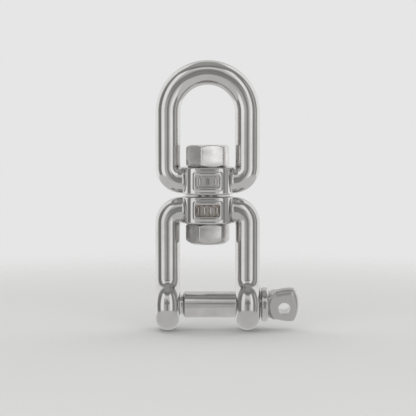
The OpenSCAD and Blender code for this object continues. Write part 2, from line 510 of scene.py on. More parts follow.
@dataclass(frozen=True)
class TurnedAndForgedPin:
    """Stainless pin: a turned, polished shaft and a flattened, matt-blasted grip.

    Fine rings from the lathe run round the shaft. The grip has an even, soft grey face.
    """

    colour: str = "#D4D3D2"
    worn_colour: str = "#C6C5C3"
    blasted_colour: str = "#C3C2C0"
    shaft_gloss: tuple[float, float] = (0.11, 0.17)
    grip_roughness: float = 0.34
    smear_mm: float = 7.0
    ring_mm: float = 0.45
    ring_squeeze: float = 0.02
    ring_depth_mm: float = 0.0020
    blast_mm: float = 0.6
    blast_depth_mm: float = 0.012

    def build(self, name: str) -> Material:
        """Builds the material called name, which reads the attribute forged, and returns it.

        Args:
            name: the material's name.

        Returns:
            The material.
        """
        material, tree, shader = blank_material(name)
        place = add_node(tree, "TexCoord").outputs["Object"]
        forged = add_node(tree, "Attribute", attribute_name="forged").outputs["Fac"]
        wear, gloss = patches(tree, place, self.smear_mm, 4.0, (0.0, 0.9), self.shaft_gloss)
        colour = add_node(tree, "Mix", {"Factor": wear, 6: linear(self.colour),
                                        7: linear(self.worn_colour)}, data_type="RGBA").outputs[2]
        colour = add_node(tree, "Mix", {"Factor": forged, 6: colour, 7: linear(self.blasted_colour)},
                          data_type="RGBA").outputs[2]
        tree.links.new(colour, shader.inputs["Base Color"])
        rough = add_node(tree, "Mix", {"Factor": forged, 2: gloss, 3: self.grip_roughness}).outputs[0]
        tree.links.new(rough, shader.inputs["Roughness"])
        squeeze = (1.0, self.ring_squeeze, self.ring_squeeze)
        ringed = add_node(tree, "Mapping", {"Vector": place, "Scale": squeeze}).outputs["Vector"]
        roughen(tree, shader, [Relief(ringed, self.ring_mm, self.ring_depth_mm, 3.0),
                               Relief(place, self.blast_mm, self.blast_depth_mm, 2.0, forged)])
        shader.inputs["Metallic"].default_value = 1.0
        return material


# ---------------------------------------------------------------------------------------- shared parts
@dataclass(frozen=True)
class Thread:
    """A right-hand metric thread along an axis, as a radius that depends on place and angle."""

    crest: float = 5.9
    root: float = 4.95
    pitch: float = 1.75

    def radius(self, along: np.ndarray, around: np.ndarray) -> np.ndarray:
        """Radius of the thread's flank.

        A triangle wave of along / pitch less the turn's fraction, steepened and clipped so that its
        crest and its root are short flats, runs from root to crest.

        Args:
            along: place along the axis, in mm.
            around: angle about the axis by the right-hand rule, in radians.

        Returns:
            The radius in mm.
        """
        turn = np.mod(along / self.pitch - around / FULL_TURN, 1.0)
        wave = np.abs(2.0 * turn - 1.0)
        return self.root + (self.crest - self.root) * np.clip(1.35 * wave - 0.15, 0.0, 1.0)


@dataclass(frozen=True)
class SizePad:
    """The raised frame cast on the front and back of a boss, with plain upright ribs in its recess."""

    middle: float
    ribs: int
    width: float = 14.5
    height: float = 10.0
    corner: float = 1.9
    side_bar: float = 1.25
    end_bar: float = 2.0
    proud: float = 0.42
    recess: float = 0.30
    rib_width: float = 1.0
    rib_height: float = 3.9
    recess_corner: float = 0.9
    rib_corner: float = 0.45
    shows_past: float = 6.5
    stain: float = 0.9

    @staticmethod
    def _box(x: np.ndarray, z: np.ndarray, half_x: float, half_z: float, corner: float) -> np.ndarray:
        """Distance to a rounded rectangle: that to the inner one, less the corner's radius.

        Args:
            x: places across, from its middle, in mm.
            z: places up, from its middle, in mm.
            half_x: half its width, in mm.
            half_z: half its height, in mm.
            corner: its corners' radius, in mm.

        Returns:
            The distances in mm, negative inside.
        """
        dx, dz = np.abs(x) - (half_x - corner), np.abs(z) - (half_z - corner)
        outside = np.hypot(np.maximum(dx, 0.0), np.maximum(dz, 0.0))
        return outside + np.minimum(np.maximum(dx, dz), 0.0) - corner

    def zones(self, x: np.ndarray, z: np.ndarray) -> tuple[np.ndarray, np.ndarray, np.ndarray]:
        """Distances to the pad's outline, to its recess's outline and to the nearest rib.

        Args:
            x: place across the pad, in mm.
            z: height in the row frame, in mm.

        Returns:
            The three distances in mm, negative inside.
        """
        up = z - self.middle
        outer = self._box(x, up, self.width / 2.0, self.height / 2.0, self.corner)
        inner = self._box(x, up, self.width / 2.0 - self.side_bar, self.height / 2.0 - self.end_bar,
                          self.recess_corner)
        step, centre = (self.width - 2.0 * self.side_bar) / self.ribs, (self.ribs - 1) / 2.0
        nearest = np.clip(np.round(x / step + centre), 0, self.ribs - 1) - centre
        rib = self._box(x - nearest * step, up, self.rib_width / 2.0, self.rib_height / 2.0, self.rib_corner)
        return outer, inner, rib

    def relief(self, x: np.ndarray, z: np.ndarray) -> np.ndarray:
        """How far the pad stands out of the boss, in mm, or in, where it is negative.

        A step up inside the outline, rolled where the end bars are, a step down inside the recess, and
        up again on the ribs.

        Args:
            x: places across the pad, in mm.
            z: heights in the row frame, in mm.

        Returns:
            The heights out of the boss, in mm.
        """
        outer, inner, rib = self.zones(x, z)
        roll = 1.0 - (np.clip((np.abs(z - self.middle) - (self.height / 2.0 - self.end_bar / 2.0))
                              / (self.end_bar / 2.0), -1.0, 1.0)) ** 2
        frame = self.proud * (0.7 + 0.3 * roll) * smooth_step(-outer, -0.05, 0.75)
        down = (self.proud + self.recess) * smooth_step(-inner, -0.2, 0.6)
        ribs = (self.proud + self.recess) * 0.8 * smooth_step(-rib, -0.2, 0.3)
        return frame - down + ribs

    def marks(self, x: np.ndarray, y: np.ndarray, z: np.ndarray) -> dict[str, np.ndarray]:
        """The attributes cast, 1 on the recess's floor, and stain, 1 along the foot of its walls.

        Args:
            x: places along the pin, in mm.
            y: places from front to back, in mm.
            z: heights on the swivel axis, in mm.

        Returns:
            Each attribute's name and its values from 0 to 1.
        """
        _, inner, rib = self.zones(x, z)
        near = (np.abs(y) > self.shows_past) & (np.abs(z - self.middle) < self.height / 2.0)
        floor = smooth_step(-inner, 0.0, 0.35) * (1.0 - smooth_step(-rib, 0.0, 0.25)) * near
        foot = floor * (1.0 - smooth_step(np.minimum(-inner, rib), 0.3, 1.1))
        return {"cast": floor, "stain": self.stain * np.clip(foot + 0.25 * floor, 0.0, 1.0)}


@dataclass(frozen=True)
class Boss:
    """The upright block in a crossbar that the bolt passes through, with its size pads.

    Its plan is a square rounded until its sides bow: |x|^power + |y|^power = radius^power.
    """

    low: float
    pad: SizePad
    radius: float = 11.7
    power: float = 3.2
    height: float = 13.25
    rim: float = 1.0
    bore: float = 6.08
    lead: float = 0.6
    pad_between: tuple[float, float] = (5.0, 7.0)

    def distance(self, x: np.ndarray, y: np.ndarray, z: np.ndarray) -> np.ndarray:
        """Distance field: the block with the pad's relief, cut by its two flat faces with rounded rims.

        Args:
            x: places along the pin, in mm.
            y: places from front to back, in mm.
            z: heights on the swivel axis, in mm.

        Returns:
            The distances in mm, negative inside.
        """
        faces = np.abs(z - (self.low + self.height / 2.0)) - self.height / 2.0
        plan = (np.abs(x) ** self.power + np.abs(y) ** self.power) ** (1.0 / self.power) - self.radius
        relief = self.pad.relief(x, z) * smooth_step(np.abs(y), *self.pad_between)
        return smooth_cut(plan - relief, faces, self.rim)

    def bore_cutter(self) -> Piece:
        """A plug for the bolt's hole, flared by a quarter round of radius lead at both faces.

        Returns:
            The plug, to be used up by carve.
        """
        turn = np.linspace(0.0, math.pi / 2.0, 7)
        flare_r = self.bore + self.lead * (1.0 - np.sin(turn))
        flare_z = self.lead * (1.0 - np.cos(turn))
        high = self.low + self.height
        rows = np.concatenate([
            [[self.low - 1.0, self.bore + self.lead]],
            np.stack([self.low + flare_z, flare_r], axis=-1),
            np.stack([high - flare_z, flare_r], axis=-1)[::-1],
            [[high + 1.0, self.bore + self.lead]],
        ])
        around = np.linspace(0.0, FULL_TURN, 96, endpoint=False)
        return solid_from_grid("bore_cutter", turned(rows, around, Axis.Z, (0.0, 0.0)))


def section_angles(count: int, crowd: float) -> np.ndarray:
    """Angles round a rod's section, closer together at 0 and 180 degrees.

    Each is u - crowd * sin(2u) / 2 for u evenly spaced, so the spacing there is 1 - crowd of even.
    """
    u = np.linspace(0.0, FULL_TURN, count, endpoint=False)
    return u - crowd * np.sin(2.0 * u) / 2.0


def section_rays(path: np.ndarray, inward: np.ndarray, angles: np.ndarray) -> tuple[np.ndarray, np.ndarray]:
    """Rays from a centreline in the XZ plane, each row in the plane across it.

    Args:
        path: (rows, 2) x and z of the centreline, in mm.
        inward: (rows, 2) its unit normal in the XZ plane.
        angles: (columns,) section angles, 0 towards -Y and 90 degrees along inward.

    Returns:
        Starts and unit directions, each (rows, columns, 3).
    """
    start = np.stack([path[:, 0], np.zeros(len(path)), path[:, 1]], axis=-1)
    start = np.repeat(start[:, None, :], len(angles), axis=1)
    cos, sin = np.cos(angles)[None, :], np.sin(angles)[None, :]
    way = np.stack([inward[:, :1] * sin, -np.ones((len(path), 1)) * cos, inward[:, 1:] * sin], axis=-1)
    return start, way


def arc(centre: tuple[float, float], radius: float, begin: float, end: float,
        count: int) -> tuple[np.ndarray, np.ndarray]:
    """An arc in the XZ plane, without its first point.

    Args:
        centre: x and z of its middle, in mm.
        radius: in mm.
        begin: angle from +X towards +Z that it starts from, in radians.
        end: angle that it runs to, in radians.
        count: number of points.

    Returns:
        (count, 2) points, and their unit normals away from the centre.
    """
    turn = np.linspace(begin, end, count + 1)[1:]
    out = np.stack([np.cos(turn), np.sin(turn)], axis=-1)
    return np.array(centre) + radius * out, out


@dataclass(frozen=True)
class RodCasting:
    """What both castings share: round rod bent into a crossbar with a boss and webs, and two legs.

    The legs stand on the crossbar's side that up gives: 1 is above it and -1 below.
    """

    boss: Boss
    leg: float
    bar_z: float
    up: int
    columns: int
    rod: float = 6.0
    bend: float = 6.75
    fillet: float = 1.5
    web: float = 5.45
    web_rise: float = 1.2
    web_reach: float = 13.2
    web_fillet: float = 0.6
    boss_side: float = 8.6
    crowd: float = 0.45
    crease: float = 40.0
    rod_reach: float = 7.4
    bar_reach: float = 18.0

    @property
    def corner(self) -> tuple[float, float]:
        """The middle of the right bend, as x and z."""
        return self.leg - self.bend, self.bar_z + self.up * self.bend

    def flat_distance(self, x: np.ndarray, z: np.ndarray, low: float, high: float) -> np.ndarray:
        """Distance in the XZ plane to crossbar, bends and legs, where a leg runs from low to high.

        Args:
            x: places along the pin, in mm.
            z: heights, in mm.
            low: a leg's lower end, in mm.
            high: its upper end, in mm.

        Returns:
            The distances in mm.
        """
        across, (corner_x, corner_z) = np.abs(x), self.corner
        leg = np.hypot(across - self.leg, np.maximum(np.maximum(low - z, z - high), 0.0))
        bend = np.abs(np.hypot(across - corner_x, z - corner_z) - self.bend)
        bend = np.where((across > corner_x) & (self.up * z < self.up * corner_z), bend, OUTSIDE)
        bar = np.hypot(np.maximum(across - corner_x, 0.0), z - self.bar_z)
        return np.minimum(np.minimum(leg, bend), bar)

    def with_boss(self, limbs: np.ndarray, x: np.ndarray, y: np.ndarray, z: np.ndarray) -> np.ndarray:
        """Blends webs that fill the opening's corners, and then the boss, into the limbs' field.

        A web is a thinner rod beside the crossbar's middle, web_rise towards the legs.

        Args:
            limbs: the field of rod and ears, in mm.
            x: places along the pin, in mm.
            y: places from front to back, in mm.
            z: heights on the swivel axis, in mm.

        Returns:
            The whole casting's field, in mm.
        """
        height = z - self.bar_z - self.up * self.web_rise
        web = np.hypot(np.maximum(np.abs(x) - self.web_reach, 0.0), np.hypot(height, y)) - self.web
        return smooth_join(smooth_join(limbs, web, self.web_fillet), self.boss.distance(x, y, z), self.fillet)

    def both_halves(self, points: np.ndarray, normals: np.ndarray,
                    closed: bool) -> tuple[np.ndarray, np.ndarray]:
        """Adds the mirror image in X of half a centreline, without the points that both halves share.

        Args:
            points: (rows, 2) points of the half, in mm.
            normals: (rows, 2) their unit normals.
            closed: whether its first point lies on the swivel axis too, as its last one does.

        Returns:
            The points and normals of the whole.
        """
        back = slice(-2, 0 if closed else None, -1)
        return (np.concatenate([points, (points * MIRROR_X)[back]]),
                np.concatenate([normals, (normals * MIRROR_X)[back]]))

    def cast_piece(self, name: str, field: Field, path: np.ndarray, inward: np.ndarray,
                   reach: np.ndarray, closed: bool) -> Piece:
        """Casts the surface round a centreline and stores the pads' marks on it.

        Args:
            name: the piece's name.
            field: the casting's distance field.
            path: (rows, 2) the centreline, in mm.
            inward: (rows, 2) its unit normals.
            reach: (rows,) how far each row's rays go, in mm.
            closed: whether the centreline closes on itself.

        Returns:
            The piece, not yet cut.
        """
        start, way = section_rays(path, inward, section_angles(self.columns, self.crowd))
        grid = cast(field, start, way, reach)
        marks = self.boss.pad.marks(grid[..., 0], grid[..., 1], grid[..., 2])
        return solid_from_grid(name, grid, closed_rows=closed, marks=marks)


# ---------------------------------------------------------------------------------------- the pieces
@dataclass(frozen=True)
class EyeCasting(RodCasting):
    """The eye: a closed D of round rod with a boss in its crossbar."""

    boss: Boss = Boss(low=-53.35, pad=SizePad(middle=-46.75, ribs=3, stain=0.3))
    leg: float = 19.4
    bar_z: float = -46.85
    up: int = 1
    columns: int = 232
    arc_z: float = -13.4
    node: str = "eye_body"

    def centreline(self) -> tuple[np.ndarray, np.ndarray]:
        """The D as points and inward normals, from the middle of the crossbar towards +X and round.

        Half of it is a bar, a quarter bend, a leg and a quarter of the crown's circle, and the other
        half is its mirror image.

        Returns:
            (rows, 2) points in mm and (rows, 2) unit normals towards the opening.
        """
        corner_x, corner_z = self.corner
        x = steps([(0.0, 1), (self.boss_side, 38), (corner_x, 30)])
        bar = np.stack([x, np.full_like(x, self.bar_z)], axis=-1)
        bend, bend_out = arc((corner_x, corner_z), self.bend, -math.pi / 2.0, 0.0, 36)
        z = np.linspace(corner_z, self.arc_z, 17)[1:]
        leg = np.stack([np.full_like(z, self.leg), z], axis=-1)
        crown, crown_out = arc((0.0, self.arc_z), self.leg, 0.0, math.pi / 2.0, 48)
        normals = [np.tile([0.0, 1.0], (len(bar), 1)), -bend_out, np.tile([-1.0, 0.0], (len(leg), 1)),
                   -crown_out]
        return self.both_halves(np.concatenate([bar, bend, leg, crown]), np.concatenate(normals), True)

    def distance(self, x: np.ndarray, y: np.ndarray, z: np.ndarray) -> np.ndarray:
        """Distance field: the rod about the D's centreline, with its webs and boss.

        Args:
            x: places along the pin, in mm.
            y: places from front to back, in mm.
            z: heights on the swivel axis, in mm.

        Returns:
            The distances in mm, negative inside.
        """
        crown = np.where(z > self.arc_z, np.abs(np.hypot(np.abs(x), z - self.arc_z) - self.leg), OUTSIDE)
        flat = np.minimum(crown, self.flat_distance(x, z, self.corner[1], self.arc_z))
        return self.with_boss(np.hypot(flat, y) - self.rod, x, y, z)

    def build(self, finish: Material) -> Piece:
        """Casts the surface, bores the boss, dresses and rides the piece, and hides the CAD part it stands in
        for.

        Args:
            finish: the material.

        Returns:
            The piece.
        """
        path, inward = self.centreline()
        in_bar = (np.abs(path[:, 0]) < self.corner[0] + 0.01) & (path[:, 1] < self.arc_z - self.leg)
        reach = np.where(in_bar, self.bar_reach, self.rod_reach)
        piece = self.cast_piece("eye_casting", self.distance, path, inward, reach, True)
        carve(piece, [self.boss.bore_cutter()])
        shade(piece, self.crease)
        piece.data.materials.append(finish)
        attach(piece, "eye")
        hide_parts(self.node)
        return piece


@dataclass(frozen=True)
class JawCasting(RodCasting):
    """The jaw: a U of round rod with a boss in its crossbar and a full-rounded ear on each leg."""

    boss: Boss = Boss(low=-67.5, pad=SizePad(middle=-60.85, ribs=4))
    leg: float = 19.6
    bar_z: float = -60.75
    up: int = -1
    columns: int = 216
    pin_z: float = -107.8
    ear: float = 12.55
    ear_round: float = 6.25
    ear_face: float = 6.18
    ear_edge: float = 0.5
    ear_fillet: float = 2.2
    ear_top: float = 17.0
    ear_reach: float = 14.0
    plain_bore: float = 6.6
    lead: float = 0.5
    thread: Thread = Thread(crest=5.96, root=5.05)
    node: str = "jaw_body"

    def centreline(self) -> tuple[np.ndarray, np.ndarray]:
        """The U as points and inward normals, from the bottom of the left ear to that of the right.

        Half of it is an ear, a leg, a quarter bend and half the crossbar. In the ear the rows crowd
        towards the bottom as 1 less a cosine does, so that they close on it evenly.

        Returns:
            (rows, 2) points in mm and (rows, 2) unit normals towards the opening.
        """
        corner_x, corner_z = self.corner
        low = self.pin_z - self.ear * np.cos(np.linspace(0.02, math.pi / 2.0, 44))
        rise = self.pin_z + steps([(0.0, 1), (self.ear_top, 50)])[1:]
        z = np.concatenate([low, rise, np.linspace(self.pin_z + self.ear_top, corner_z, 12)[1:]])
        upright = np.stack([np.full_like(z, -self.leg), z], axis=-1)
        bend, out = arc((-corner_x, corner_z), self.bend, math.pi, math.pi / 2.0, 36)
        x = steps([(-corner_x, 1), (-self.boss_side, 27), (0.0, 38)])[1:]
        bar = np.stack([x, np.full_like(x, self.bar_z)], axis=-1)
        normals = [np.tile([1.0, 0.0], (len(upright), 1)), -out, np.tile([0.0, -1.0], (len(bar), 1))]
        return self.both_halves(np.concatenate([upright, bend, bar]), np.concatenate(normals), False)

    def distance(self, x: np.ndarray, y: np.ndarray, z: np.ndarray) -> np.ndarray:
        """Distance field: the rod about the U, with two ears, its webs and its boss.

        An ear is all that lies within ear_round of a disc of radius ear - ear_round about the pin, cut
        by two flat faces that reach up to ear_top above it.

        Args:
            x: places along the pin, in mm.
            y: places from front to back, in mm.
            z: heights on the swivel axis, in mm.

        Returns:
            The distances in mm, negative inside.
        """
        beside = np.abs(x) - self.leg
        rod = np.hypot(self.flat_distance(x, z, self.pin_z, self.corner[1]), y) - self.rod
        past = np.maximum(np.hypot(y, z - self.pin_z) - (self.ear - self.ear_round), 0.0)
        limbs = smooth_join(rod, np.hypot(beside, past) - self.ear_round, self.ear_fillet)
        faces = np.where(z < self.pin_z + self.ear_top, np.abs(beside) - self.ear_face, -OUTSIDE)
        return self.with_boss(smooth_cut(limbs, faces, self.ear_edge), x, y, z)

    def plain_cutter(self, side: Side) -> Piece:
        """A plug for the plain ear's hole, with a cone-shaped lead of 45 degrees at both faces.

        Args:
            side: the ear that it is for.

        Returns:
            The plug, to be used up by carve.
        """
        near, far = self.leg - self.ear_round, self.leg + self.ear_round
        wide = self.plain_bore + self.lead
        rows = np.array([[near - 1.0, wide + 1.0], [near + self.lead, self.plain_bore],
                         [far - self.lead, self.plain_bore], [far + 1.0, wide + 1.0]])
        rows[:, 0] *= side.value
        around = np.linspace(0.0, FULL_TURN, 96, endpoint=False)
        return solid_from_grid("plain_cutter", turned(rows, around, Axis.X, (0.0, self.pin_z)))

    def tapped_cutter(self, side: Side) -> Piece:
        """A tap for the other ear: the thread's radius on a fine grid, with a countersink at each face.

        The radius is the larger of the thread's and of the countersink's, which falls from the crest at
        45 degrees from either face.

        Args:
            side: the ear that it is for.

        Returns:
            The plug, to be used up by carve.
        """
        near, far = self.leg - self.ear_round, self.leg + self.ear_round
        along = side.value * np.linspace(far + 1.0, near - 1.0, 132)
        around = np.linspace(0.0, FULL_TURN, 80, endpoint=False)
        grid_x, grid_t = np.meshgrid(along, around, indexing="ij")
        depth = self.ear_round - np.abs(np.abs(grid_x) - self.leg)
        sink = self.thread.crest + 0.3 - depth
        radius = np.maximum(self.thread.radius(grid_x, grid_t), sink)
        rows = np.stack([grid_x, radius], axis=-1)
        return solid_from_grid("tapped_cutter", turned(rows, around, Axis.X, (0.0, self.pin_z)))

    def build(self, finish: Material) -> Piece:
        """Casts the surface, cuts the bores, dresses and rides the piece, and hides the CAD part it stands in
        for.

        Args:
            finish: the material.

        Returns:
            The piece.
        """
        path, inward = self.centreline()
        in_bar = np.abs(path[:, 0]) < self.corner[0] + 0.01
        in_ear = path[:, 1] < self.pin_z + self.ear_top + 1.0
        reach = np.where(in_bar, self.bar_reach, np.where(in_ear, self.ear_reach, self.rod_reach))
        piece = self.cast_piece("jaw_casting", self.distance, path, inward, reach, False)
        carve(piece, [self.boss.bore_cutter(), self.plain_cutter(Side.RIGHT), self.tapped_cutter(Side.LEFT)])
        shade(piece, self.crease)
        piece.data.materials.append(finish)
        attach(piece, "jaw")
        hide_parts(self.node)
        return piece


@dataclass(frozen=True)
class EndFace:
    """A hexagon's end: the radius of its flat face, and its chamfer.

    The chamfer falls by drop at the corners, as the bulge-th power of the way out from the face: 1 is
    a cone, and more is crowned.
    """

    radius: float
    drop: float
    bulge: float


@dataclass(frozen=True)
class Hexagon:
    """A hexagon with rounded corners and softened chamfers, as rows of a profile about Z."""

    flat: float = 9.5
    corner: float = 0.9
    turn: float = 0.0
    soft: float = 0.22

    def angles(self) -> np.ndarray:
        """Angles about Z, crowded towards the six corners as the 1.6th power does.

        Returns:
            The angles, in radians.
        """
        t = np.linspace(-1.0, 1.0, 41)[:-1]
        one = np.radians(30.0) * np.sign(t) * np.abs(t) ** 1.6
        return (np.radians(60.0) * np.arange(6)[:, None] + one[None, :]).ravel() + self.turn

    def radius(self) -> np.ndarray:
        """Distance from the axis to the rounded hexagon at each of the angles.

        Beside a corner it is where the ray meets the corner's circle, and elsewhere the flat's
        distance over the cosine of the angle to the flat's normal.

        Returns:
            The radii in mm.
        """
        phi = np.abs(np.mod(self.angles() - self.turn + math.pi / 6.0, math.pi / 3.0) - math.pi / 6.0)
        middle = (self.flat - self.corner) / math.cos(math.pi / 6.0)
        meets = math.atan2(self.corner * 0.5, middle + self.corner * math.cos(math.pi / 6.0))
        arc = middle * np.cos(phi) + np.sqrt(np.maximum(self.corner ** 2 - (middle * np.sin(phi)) ** 2, 0.0))
        side = self.flat / np.cos(math.pi / 6.0 - phi)
        return np.where(phi < meets, arc, side)

    def end_rows(self, face_z: float, way: float, end: EndFace) -> np.ndarray:
        """Rows from an end face's edge over its chamfer and just onto the sides.

        The row on the edge itself is left out, so that a narrow soft band spans it.

        Args:
            face_z: height of the end face, in mm.
            way: -1 where the sides lie below the face, and 1 where they lie above it.
            end: the face and its chamfer.

        Returns:
            (rows, columns, 2) of height and radius.
        """
        side = self.radius()
        span = side.max() - end.radius
        share = np.array([0.0, 0.02, 0.25, 0.5, 0.75, 1.0])[:, None]
        inner = np.maximum(side - self.soft, end.radius + 0.02)
        r = end.radius + (inner - end.radius)[None, :] * share
        fall = end.drop * (np.maximum(r - end.radius, 0.0) / span) ** end.bulge
        edge = end.drop * (np.maximum(side - end.radius, 0.0) / span) ** end.bulge + self.soft
        rows = np.stack([face_z + way * fall, r], axis=-1)
        last = np.stack([face_z + way * edge, side], axis=-1)[None]
        return np.concatenate([rows, last])


def rings(places: list[tuple[float, float]], columns: int) -> np.ndarray:
    """Plain rows of a profile, as (rows, columns, 2) of place along the axis and radius."""
    return np.repeat(np.array(places, dtype=float)[:, None, :], columns, axis=1)


@dataclass(frozen=True)
class SwivelNut:
    """The hexagon nut inside the eye, chamfered at both ends and countersunk."""

    low: float = -40.0
    height: float = 10.7
    bore: float = 5.96
    sink: float = 6.5
    crease: float = 50.0
    under: EndFace = EndFace(9.15, 1.0, 1.15)
    top: EndFace = EndFace(9.05, 1.15, 1.2)
    shape: Hexagon = Hexagon(turn=math.radians(-106.0))
    node: str = "swivel_nut"

    def build(self, finish: Material) -> Piece:
        """Carries the nut's closed profile round the axis, dresses and rides the piece, and hides the CAD
        part it stands in for.

        Args:
            finish: the material.

        Returns:
            The piece.
        """
        count, high = len(self.shape.angles()), self.low + self.height
        deep = self.sink - self.bore
        rows = np.concatenate([
            rings([(self.low + deep, self.bore), (self.low, self.sink), (self.low, self.sink + 0.05),
                   (self.low, self.under.radius - 0.15)], count),
            self.shape.end_rows(self.low, 1.0, self.under),
            self.shape.end_rows(high, -1.0, self.top)[::-1],
            rings([(high, self.top.radius - 0.15), (high, self.sink + 0.25), (high - 0.04, self.sink + 0.1),
                   (high - 0.15, self.sink - 0.05), (high - deep, self.bore)], count),
        ])
        grid = turned(rows, self.shape.angles(), Axis.Z, (0.0, 0.0))
        piece = solid_from_grid("swivel_nut_formed", grid, closed_rows=True)
        shade(piece, self.crease)
        piece.data.materials.append(finish)
        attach(piece, "swivel")
        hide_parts(self.node)
        return piece


@dataclass(frozen=True)
class SwivelBolt:
    """The bolt: a hexagon head inside the jaw and a shank up through both bosses to the nut."""

    seat: float = -67.6
    head: float = 10.1
    shank: float = 6.0
    thread_from: float = -41.75
    tip: float = -29.8
    chamfer: float = 0.9
    core: float = 4.6
    pole: float = 0.5
    crease: float = 50.0
    end: EndFace = EndFace(7.6, 2.0, 1.5)
    under: EndFace = EndFace(9.2, 0.9, 1.1)
    thread: Thread = Thread(crest=5.9, root=4.95)
    shape: Hexagon = Hexagon(turn=math.radians(-111.0), corner=1.0)
    node: str = "swivel_bolt"

    def build(self, finish: Material) -> Piece:
        """Carries head, shank and threaded end round the axis, dresses and rides the piece, and hides the CAD
        part it stands in for.

        The thread's depth fades in over one pitch where it starts, and its radius is capped by the
        45 degree chamfer at the tip.

        Args:
            finish: the material.

        Returns:
            The piece.
        """
        around = self.shape.angles()
        count, low = len(around), self.seat - self.head
        z = np.linspace(self.thread_from, self.tip, 110)
        grid_z, grid_t = np.meshgrid(z, around, indexing="ij")
        fade = smooth_step(grid_z, self.thread_from, self.thread_from + self.thread.pitch)
        r = self.shank + (self.thread.radius(grid_z, grid_t) - self.shank) * fade
        r = np.minimum(r, self.thread.crest - self.chamfer + (self.tip - grid_z))
        rows = np.concatenate([
            rings([(low, self.pole), (low, self.end.radius - 0.3)], count),
            self.shape.end_rows(low, 1.0, self.end),
            self.shape.end_rows(self.seat, -1.0, self.under)[::-1],
            rings([(self.seat, self.under.radius - 0.2), (self.seat, self.shank + 0.06),
                   (self.seat + 0.06, self.shank), (self.thread_from - 0.05, self.shank)], count),
            np.stack([grid_z, r], axis=-1),
            rings([(self.tip, self.core), (self.tip, self.pole)], count),
        ])
        piece = solid_from_grid("swivel_bolt_formed", turned(rows, around, Axis.Z, (0.0, 0.0)))
        shade(piece, self.crease)
        piece.data.materials.append(finish)
        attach(piece, "swivel")
        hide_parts(self.node)
        return piece


